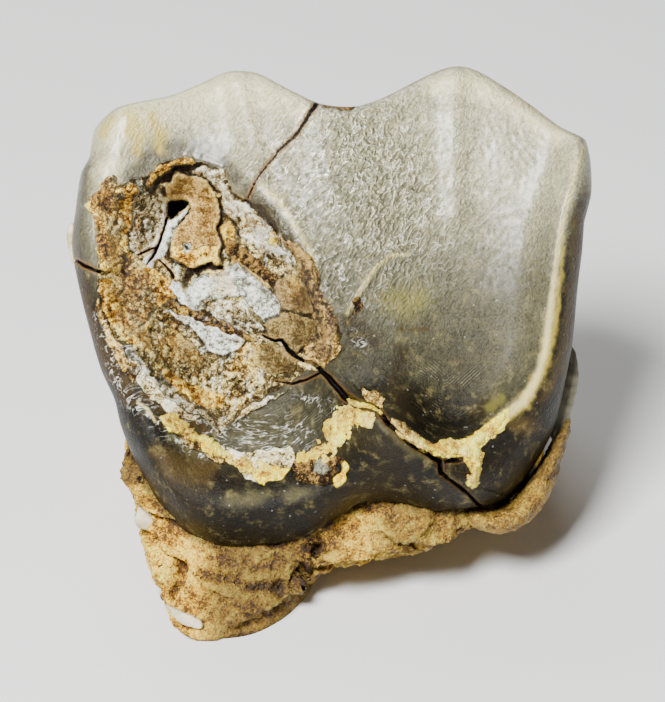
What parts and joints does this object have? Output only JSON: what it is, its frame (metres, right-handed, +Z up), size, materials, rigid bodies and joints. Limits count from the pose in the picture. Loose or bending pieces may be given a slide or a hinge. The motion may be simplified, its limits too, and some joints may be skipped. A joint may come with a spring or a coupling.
{
  "type": "fossil brontothere tooth",
  "caption": "Fossil upper molar with a W-shaped outer wall, dished faces and low inner cusps, cracked and set upright in a lump of sandstone.",
  "frame": {"origin": "centre of the object's box at the floor, on the flat underside of the sandstone", "axes": "+Z up from the underside; X along the tooth row; -Y towards the cheek side with the two dished faces"},
  "size_m": [0.0897, 0.093, 0.0778],
  "materials": {
    "tooth_enamel": "glossy fossil enamel, dark olive grey with rusty and bluish white breaks",
    "sandstone": "matt coarse tan sandstone",
    "rusty_sand": "matt rusty cemented sand",
    "yellow_crust": "matt yellow cemented sand",
    "pale_chip": "satin pale fossil bone and enamel",
    "grey_plate": "satin grey fossil enamel"
  },
  "bodies": {
    "root": {"tooth": "tooth_enamel", "sandstone_matrix": "sandstone", "fossa_sand": "rusty_sand", "fossa_wall_sand": "rusty_sand", "rim_crust_left": "yellow_crust", "rim_crust_middle": "yellow_crust", "rim_crust_right": "yellow_crust", "enamel_chip": "pale_chip", "enamel_sliver": "pale_chip", "side_plate": "grey_plate", "bone_splinter": "pale_chip"}
  },
  "joints": []
}
